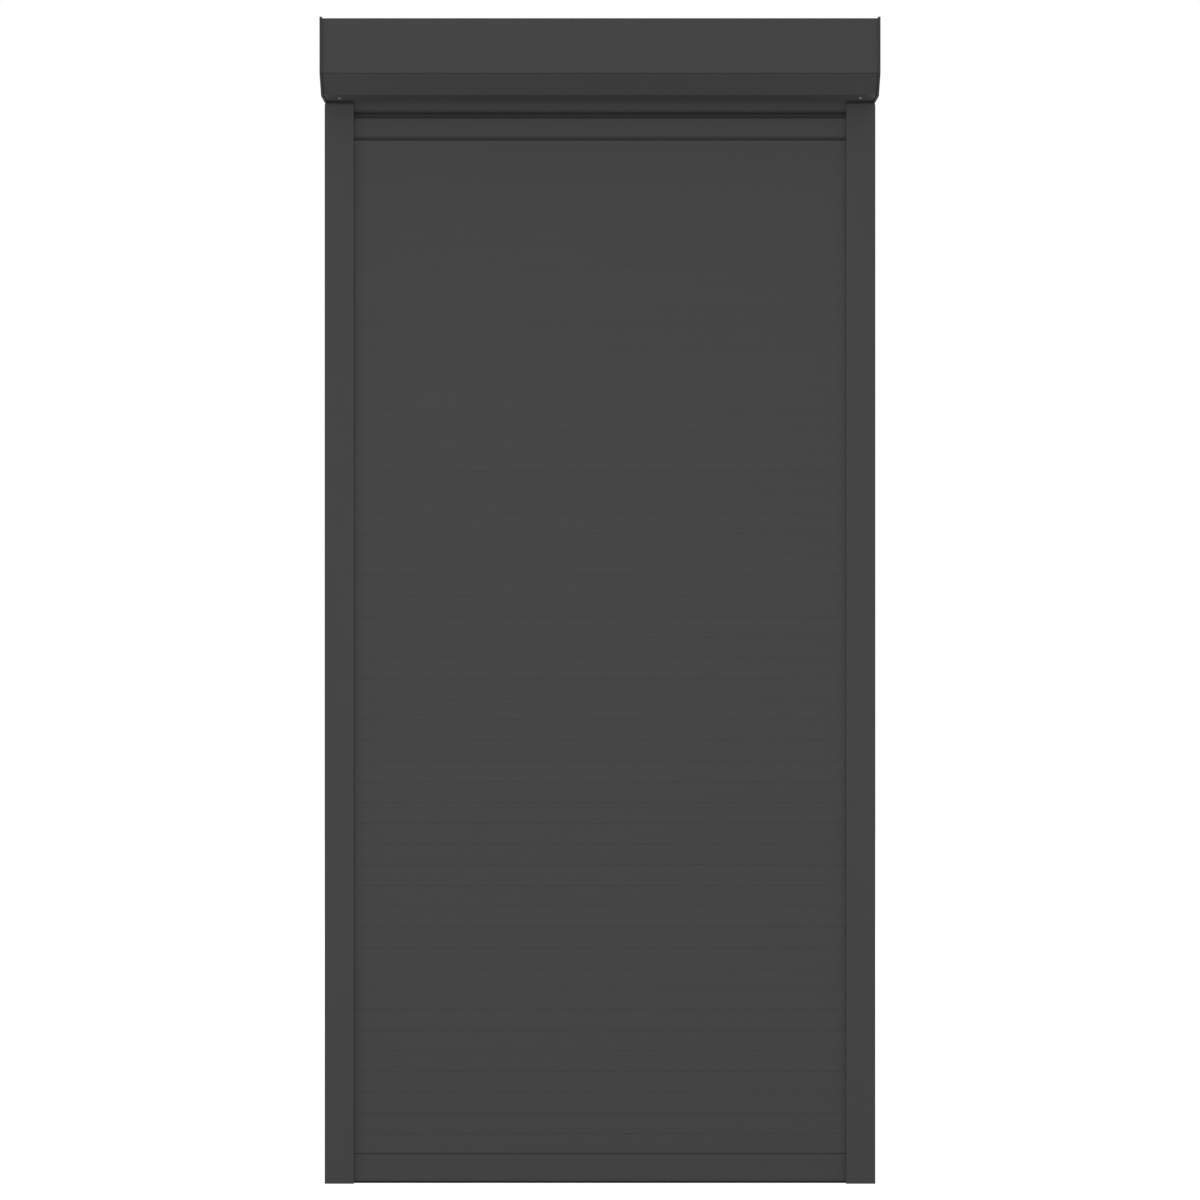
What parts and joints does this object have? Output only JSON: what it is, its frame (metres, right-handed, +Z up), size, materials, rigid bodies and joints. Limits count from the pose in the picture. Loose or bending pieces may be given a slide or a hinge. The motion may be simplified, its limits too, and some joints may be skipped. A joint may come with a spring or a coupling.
{
  "type": "exterior roller shutter",
  "caption": "Front-mounted exterior roller shutter with a bevelled box, two guide rails, a closed slatted curtain, a bottom bar with seal and a tubular motor drive.",
  "frame": {"origin": "middle of the opening on the wall plane, at the sill, where the rails stand", "axes": "+X along the shutter to the right seen from outside, +Y into the wall, +Z up; the outside is at -Y"},
  "size_m": [1, 0.137, 2.1],
  "materials": {
    "end_cap_paint": "powder coated, anthracite grey, fine texture",
    "box_sheet": "coil coated, anthracite grey, satin",
    "rail_coating": "powder coated, anthracite grey, satin",
    "slat_coating": "coil coated, anthracite grey, satin",
    "bottom_bar_coating": "powder coated, anthracite grey, satin",
    "seal_rubber": "black extruded rubber",
    "grommet_rubber": "black moulded rubber",
    "liner_rubber": "black soft extruded strip",
    "black_plastic": "moulded, matt black",
    "grey_plastic": "moulded, grey",
    "motor_plastic": "moulded, matt black",
    "button_up_plastic": "moulded, white",
    "button_down_plastic": "moulded, yellow",
    "motor_paint": "painted steel tube, light grey",
    "motor_inner_metal": "steel",
    "galvanised_steel": "galvanised sheet steel",
    "plated_screws": "zinc plated steel",
    "rivet_aluminium": "painted anthracite grey",
    "bearing_steel": "ground steel",
    "spring_steel": "blued spring steel",
    "slat_foam": "rigid polyurethane foam, pale yellow"
  },
  "bodies": {
    "frame": {"bearing_balls": "bearing_steel", "bearing_bracket": "galvanised_steel", "bearing_bracket_screws": "plated_screws", "bearing_outer_ring": "bearing_steel", "box_shell": "box_sheet", "cable_grommet": "grommet_rubber", "end_cap_left": "end_cap_paint", "end_cap_right": "end_cap_paint", "gear_unit": "motor_inner_metal", "guide_rail_left": "rail_coating", "guide_rail_right": "rail_coating", "inlet_funnel_left": "black_plastic", "inlet_funnel_right": "black_plastic", "motor_bracket": "galvanised_steel", "motor_bracket_screws": "plated_screws", "motor_head": "motor_plastic", "motor_tube": "motor_paint", "motor_unit": "motor_inner_metal", "rail_liner_left": "liner_rubber", "rail_liner_right": "liner_rubber", "shell_rivets": "rivet_aluminium"},
    "shaft": {"winding_shaft": "galvanised_steel", "drive_wheel": "grey_plastic", "output_shaft": "bearing_steel", "limit_crown": "grey_plastic", "idler_capsule": "grey_plastic", "idler_pin": "bearing_steel", "bearing_inner_ring": "bearing_steel", "shaft_screws": "plated_screws"},
    "curtain": {"closed_slats_01": "slat_coating", "closed_slats_02": "slat_coating", "closed_slats_03": "slat_coating", "closed_slats_04": "slat_coating", "closed_slats_05": "slat_coating", "closed_slats_06": "slat_coating", "closed_slats_07": "slat_coating", "closed_slats_08": "slat_coating", "closed_slats_09": "slat_coating", "closed_slats_10": "slat_coating", "closed_slat_cores": "slat_foam", "end_locks_left": "grey_plastic", "end_locks_right": "grey_plastic", "bottom_bar": "bottom_bar_coating", "bottom_seal": "seal_rubber", "bar_glide_left": "black_plastic", "bar_glide_right": "black_plastic"},
    "upper_slat": {"lifted_slat": "slat_coating", "lifted_slat_core": "slat_foam"},
    "top_slat": {"hanging_slat": "slat_coating", "hanging_slat_core": "slat_foam", "top_lock_left": "grey_plastic", "top_lock_right": "grey_plastic", "hanger_strips": "spring_steel"},
    "cover": {"inspection_cover": "box_sheet", "cover_screws": "plated_screws"},
    "button_up": {"limit_button_up": "button_up_plastic"},
    "button_down": {"limit_button_down": "button_down_plastic"}
  },
  "joints": [
    {"name": "curtain_lift", "type": "slide", "parent": "frame", "child": "curtain", "axis": [0, 0, 1], "range_m": [0, 0.06], "deforming": ["hanger_strips"]},
    {"name": "shaft_turn", "type": "hinge", "parent": "frame", "child": "shaft", "pos_m": [0, -0.0685, 2.0315], "axis": [1, 0, 0], "range_deg": [0, 164]},
    {"name": "upper_slat_play", "type": "slide", "parent": "curtain", "child": "upper_slat", "axis": [0, 0, 1], "range_m": [-0.0016, 0.0106], "deforming": ["hanger_strips"]},
    {"name": "top_slat_play", "type": "slide", "parent": "upper_slat", "child": "top_slat", "axis": [0, 0, 1], "range_m": [-0.0119, 0], "deforming": ["hanger_strips"]},
    {"name": "cover_removal", "type": "slide", "parent": "frame", "child": "cover", "axis": [0, 0, -1], "range_m": [0, 0.15]},
    {"name": "limit_button_up_press", "type": "slide", "parent": "frame", "child": "button_up", "axis": [0, 0, 1], "range_m": [0, 0.0015], "stiffness_N_per_m": 400, "springref_m": -0.0005},
    {"name": "limit_button_down_press", "type": "slide", "parent": "frame", "child": "button_down", "axis": [0, 0, 1], "range_m": [0, 0.0015], "stiffness_N_per_m": 400, "springref_m": -0.0005}
  ],
  "couplings": [
    {"joint": "shaft_turn", "follows": "curtain_lift", "rad_per_m": 47.6}
  ]
}
